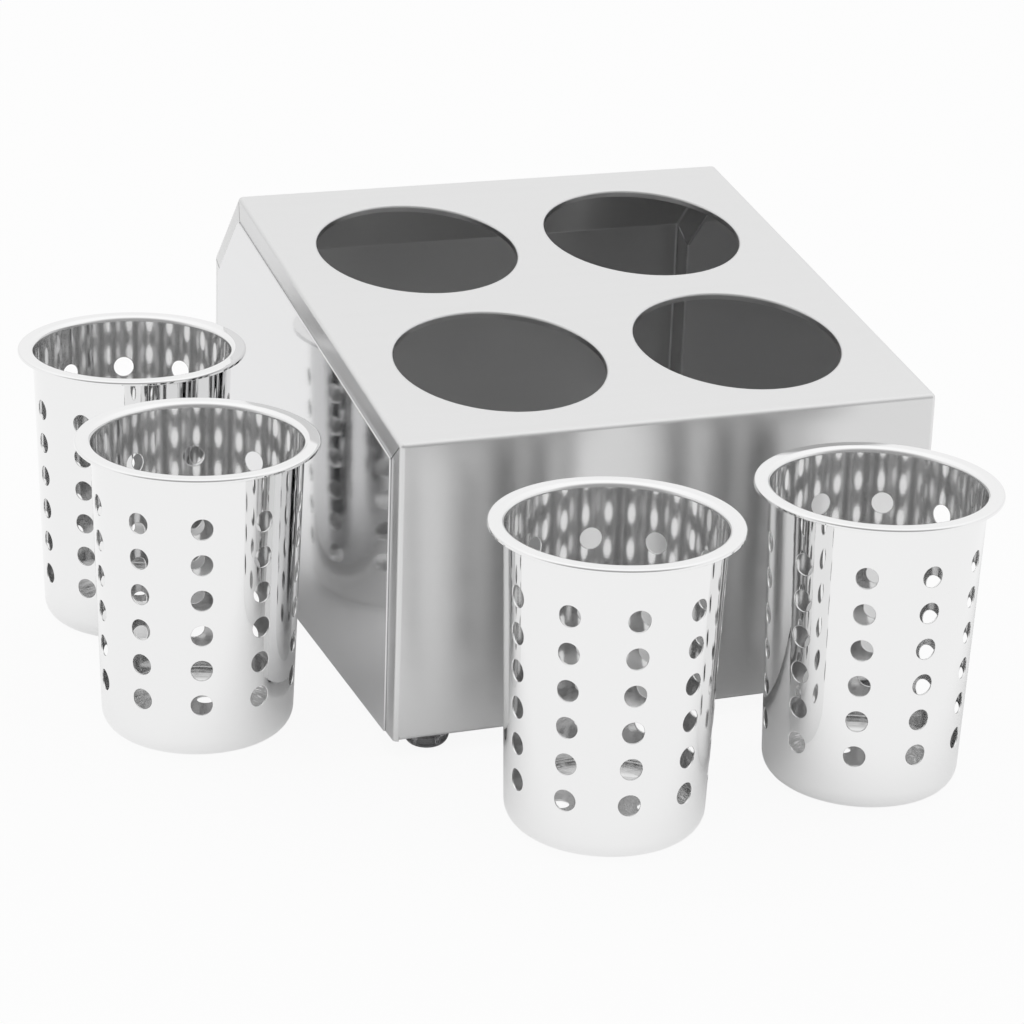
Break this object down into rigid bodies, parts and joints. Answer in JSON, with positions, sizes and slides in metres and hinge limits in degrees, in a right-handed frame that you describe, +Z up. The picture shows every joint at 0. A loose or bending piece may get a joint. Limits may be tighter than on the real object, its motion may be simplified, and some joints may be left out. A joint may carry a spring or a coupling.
{
  "type": "cutlery holder",
  "caption": "Sloping sheet-steel countertop case with round seats for tapered, perforated cutlery cups, which lift out and here stand beside it.",
  "frame": {"origin": "on the table, under the middle of the box round the case and its cups", "axes": "+Z up, +Y from the case's low front to its high back, +X to the right as seen from the front"},
  "size_m": [0.3961, 0.4453, 0.1943],
  "materials": {
    "brushed_case_steel": "stainless sheet with a fine satin grain",
    "side_panel_steel": "stainless sheet, brighter and smoother than the front",
    "polished_cup_steel": "mirror-polished stainless steel",
    "foot_plastic": "glossy smoke-grey moulding",
    "fastener_steel": "zinc-plated steel"
  },
  "bodies": {
    "case": {"case_wrapper": "brushed_case_steel", "left_side_panel": "side_panel_steel", "right_side_panel": "side_panel_steel", "foot_front_left": "foot_plastic", "foot_screw_front_left": "fastener_steel", "foot_washer_front_left": "fastener_steel", "foot_nut_front_left": "fastener_steel", "foot_front_right": "foot_plastic", "foot_screw_front_right": "fastener_steel", "foot_washer_front_right": "fastener_steel", "foot_nut_front_right": "fastener_steel", "foot_back_left": "foot_plastic", "foot_screw_back_left": "fastener_steel", "foot_washer_back_left": "fastener_steel", "foot_nut_back_left": "fastener_steel", "foot_back_right": "foot_plastic", "foot_screw_back_right": "fastener_steel", "foot_washer_back_right": "fastener_steel", "foot_nut_back_right": "fastener_steel"},
    "cup_left_back_body": {"cup_left_back": "polished_cup_steel"},
    "cup_left_front_body": {"cup_left_front": "polished_cup_steel"},
    "cup_front_left_body": {"cup_front_left": "polished_cup_steel"},
    "cup_front_right_body": {"cup_front_right": "polished_cup_steel"}
  },
  "joints": [
    {"name": "lift_cup_left_back", "type": "slide", "parent": "case", "child": "cup_left_back_body", "axis": [0, 0, 1], "range_m": [0, 0.2]},
    {"name": "lift_cup_left_front", "type": "slide", "parent": "case", "child": "cup_left_front_body", "axis": [0, 0, 1], "range_m": [0, 0.2]},
    {"name": "lift_cup_front_left", "type": "slide", "parent": "case", "child": "cup_front_left_body", "axis": [0, 0, 1], "range_m": [0, 0.2]},
    {"name": "lift_cup_front_right", "type": "slide", "parent": "case", "child": "cup_front_right_body", "axis": [0, 0, 1], "range_m": [0, 0.2]}
  ]
}
